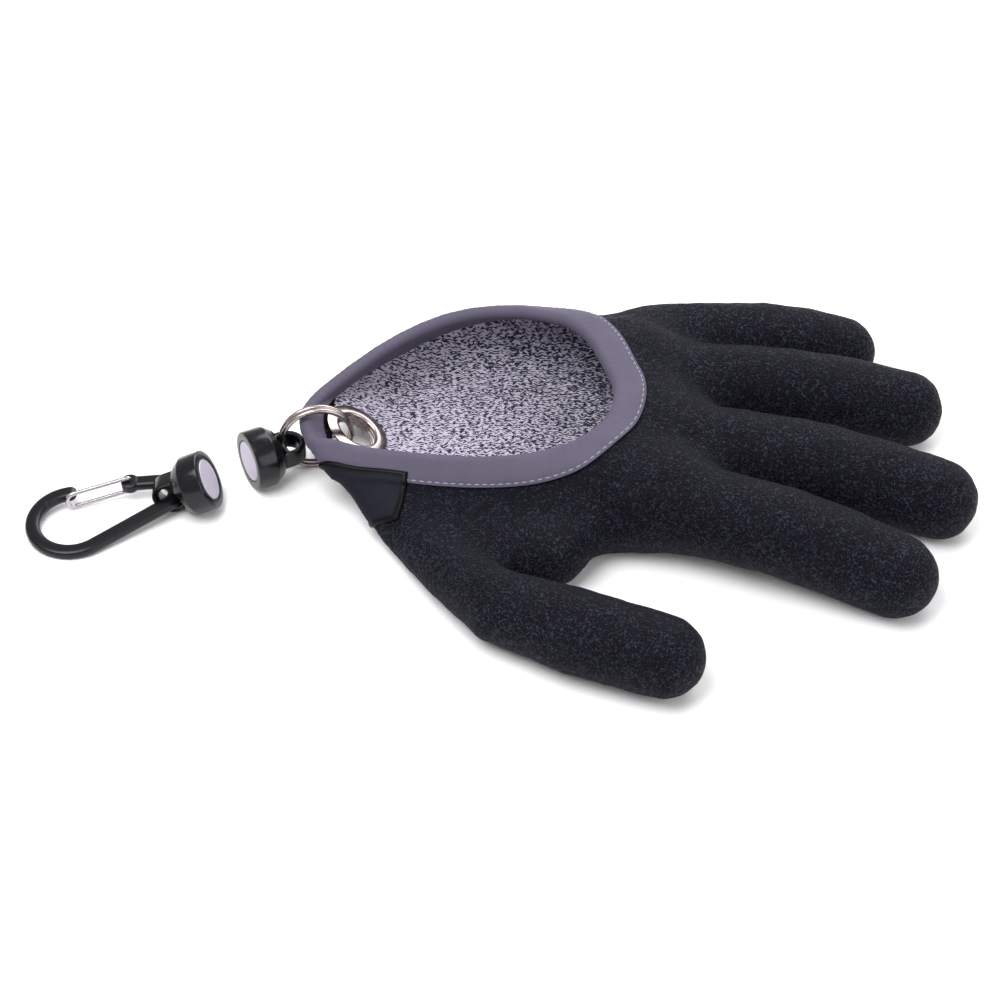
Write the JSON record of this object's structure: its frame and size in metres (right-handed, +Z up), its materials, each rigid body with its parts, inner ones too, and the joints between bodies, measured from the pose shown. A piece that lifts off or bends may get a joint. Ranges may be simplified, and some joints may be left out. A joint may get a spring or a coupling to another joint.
{
  "type": "fishing glove",
  "caption": "Left-hand landing glove lying palm down, open over the wrist, with a taped rim, a tail eyelet on a split ring and a magnetic release clip on a small carabiner.",
  "frame": {"origin": "centre of the bounding box's underside, on the surface that everything lies on", "axes": "+X from the clip towards the fingertips, +Y towards the little finger, +Z up"},
  "size_m": [0.3178, 0.1824, 0.0377],
  "materials": {
    "latex_cloth": "crinkled black latex over knitted cloth",
    "tape": "grey-violet satin woven tape",
    "black_tab": "black woven tab with a raised border",
    "nickel": "warm nickel plate",
    "black_plastic": "gloss",
    "magnet_metal": "satin plate",
    "black_metal": "satin black",
    "stainless_wire": "bright"
  },
  "bodies": {
    "glove": {"glove_body": "latex_cloth", "edge_binding": "tape", "eyelet": "nickel", "label": "black_tab", "split_ring": "nickel", "glove_magnet_holder": "black_plastic", "glove_magnet": "magnet_metal", "clip_magnet_holder": "black_plastic", "clip_magnet": "magnet_metal", "carabiner_body": "black_metal"},
    "gate": {"wire_gate": "stainless_wire"}
  },
  "joints": [
    {"name": "gate_hinge", "type": "hinge", "parent": "glove", "child": "gate", "pos_m": [-0.12505, 0.01386, 0.00589], "axis": [-0.0396, -0.1045, 0.9937], "range_deg": [0, 18], "stiffness_Nm_per_rad": 0.004, "springref_deg": -11.46}
  ]
}
